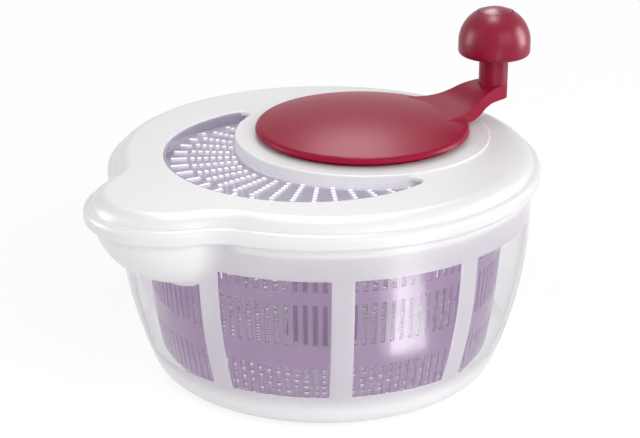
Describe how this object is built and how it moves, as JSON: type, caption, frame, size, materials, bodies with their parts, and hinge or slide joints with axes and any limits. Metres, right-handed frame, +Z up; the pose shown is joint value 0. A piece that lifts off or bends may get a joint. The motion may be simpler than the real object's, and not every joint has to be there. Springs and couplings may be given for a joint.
{
  "type": "salad spinner",
  "caption": "Round spinner with a pouring spout: a clear bowl holds a slotted basket that a geared hand crank on the white lid turns.",
  "frame": {"origin": "on the table under the middle of the bowl", "axes": "+Z up, the spout points along -X, the crank's axis stands off the bowl's axis along +X"},
  "size_m": [0.2968, 0.252, 0.202],
  "materials": {
    "bowl": "clear polished windows between frosted bars",
    "foot_ring": "soft matt ring",
    "steel": "plain bright steel",
    "bearing": "natural white acetal",
    "basket": "translucent lavender plastic",
    "lid": "satin white plastic, slightly translucent",
    "gear": "natural white acetal",
    "crank": "crimson satin-gloss plastic",
    "knob": "crimson satin-gloss plastic"
  },
  "bodies": {
    "bowl": {"bowl": "bowl", "foot_ring": "foot_ring", "pivot_pin": "steel"},
    "basket": {"basket": "basket", "basket_column": "basket", "pivot_bush": "bearing"},
    "lid": {"lid": "lid", "inlet_sieve": "basket", "gear_plate": "lid", "plate_screws": "steel", "axle_bush": "bearing", "pinion_bush": "bearing"},
    "crank": {"crank": "crank", "ring_gear": "gear", "gear_screws": "steel", "axle_washer": "steel", "axle_screw": "steel", "knob_post": "crank", "post_screw": "steel", "knob_washer": "steel", "knob_screw": "steel"},
    "pinion": {"pinion": "gear", "drive_dog": "gear", "dog_screw": "steel"},
    "knob": {"knob": "knob", "knob_cap": "knob"}
  },
  "joints": [
    {"name": "lid_lift", "type": "slide", "parent": "bowl", "child": "lid", "axis": [0, 0, 1], "range_m": [0, 0.15]},
    {"name": "crank_turn", "type": "hinge", "parent": "lid", "child": "crank", "pos_m": [0.03, 0, 0.1359], "axis": [0, 0, 1], "continuous": true},
    {"name": "pinion_turn", "type": "hinge", "parent": "lid", "child": "pinion", "pos_m": [0, 0, 0.12], "axis": [0, 0, 1], "continuous": true},
    {"name": "basket_spin", "type": "hinge", "parent": "bowl", "child": "basket", "pos_m": [0, 0, 0.018], "axis": [0, 0, 1], "continuous": true},
    {"name": "knob_turn", "type": "hinge", "parent": "crank", "child": "knob", "pos_m": [0.11597, -0.02303, 0.172], "axis": [0, 0, 1], "continuous": true}
  ],
  "couplings": [
    {"joint": "pinion_turn", "follows": "crank_turn", "ratio": 3},
    {"joint": "basket_spin", "follows": "crank_turn", "ratio": 3}
  ]
}
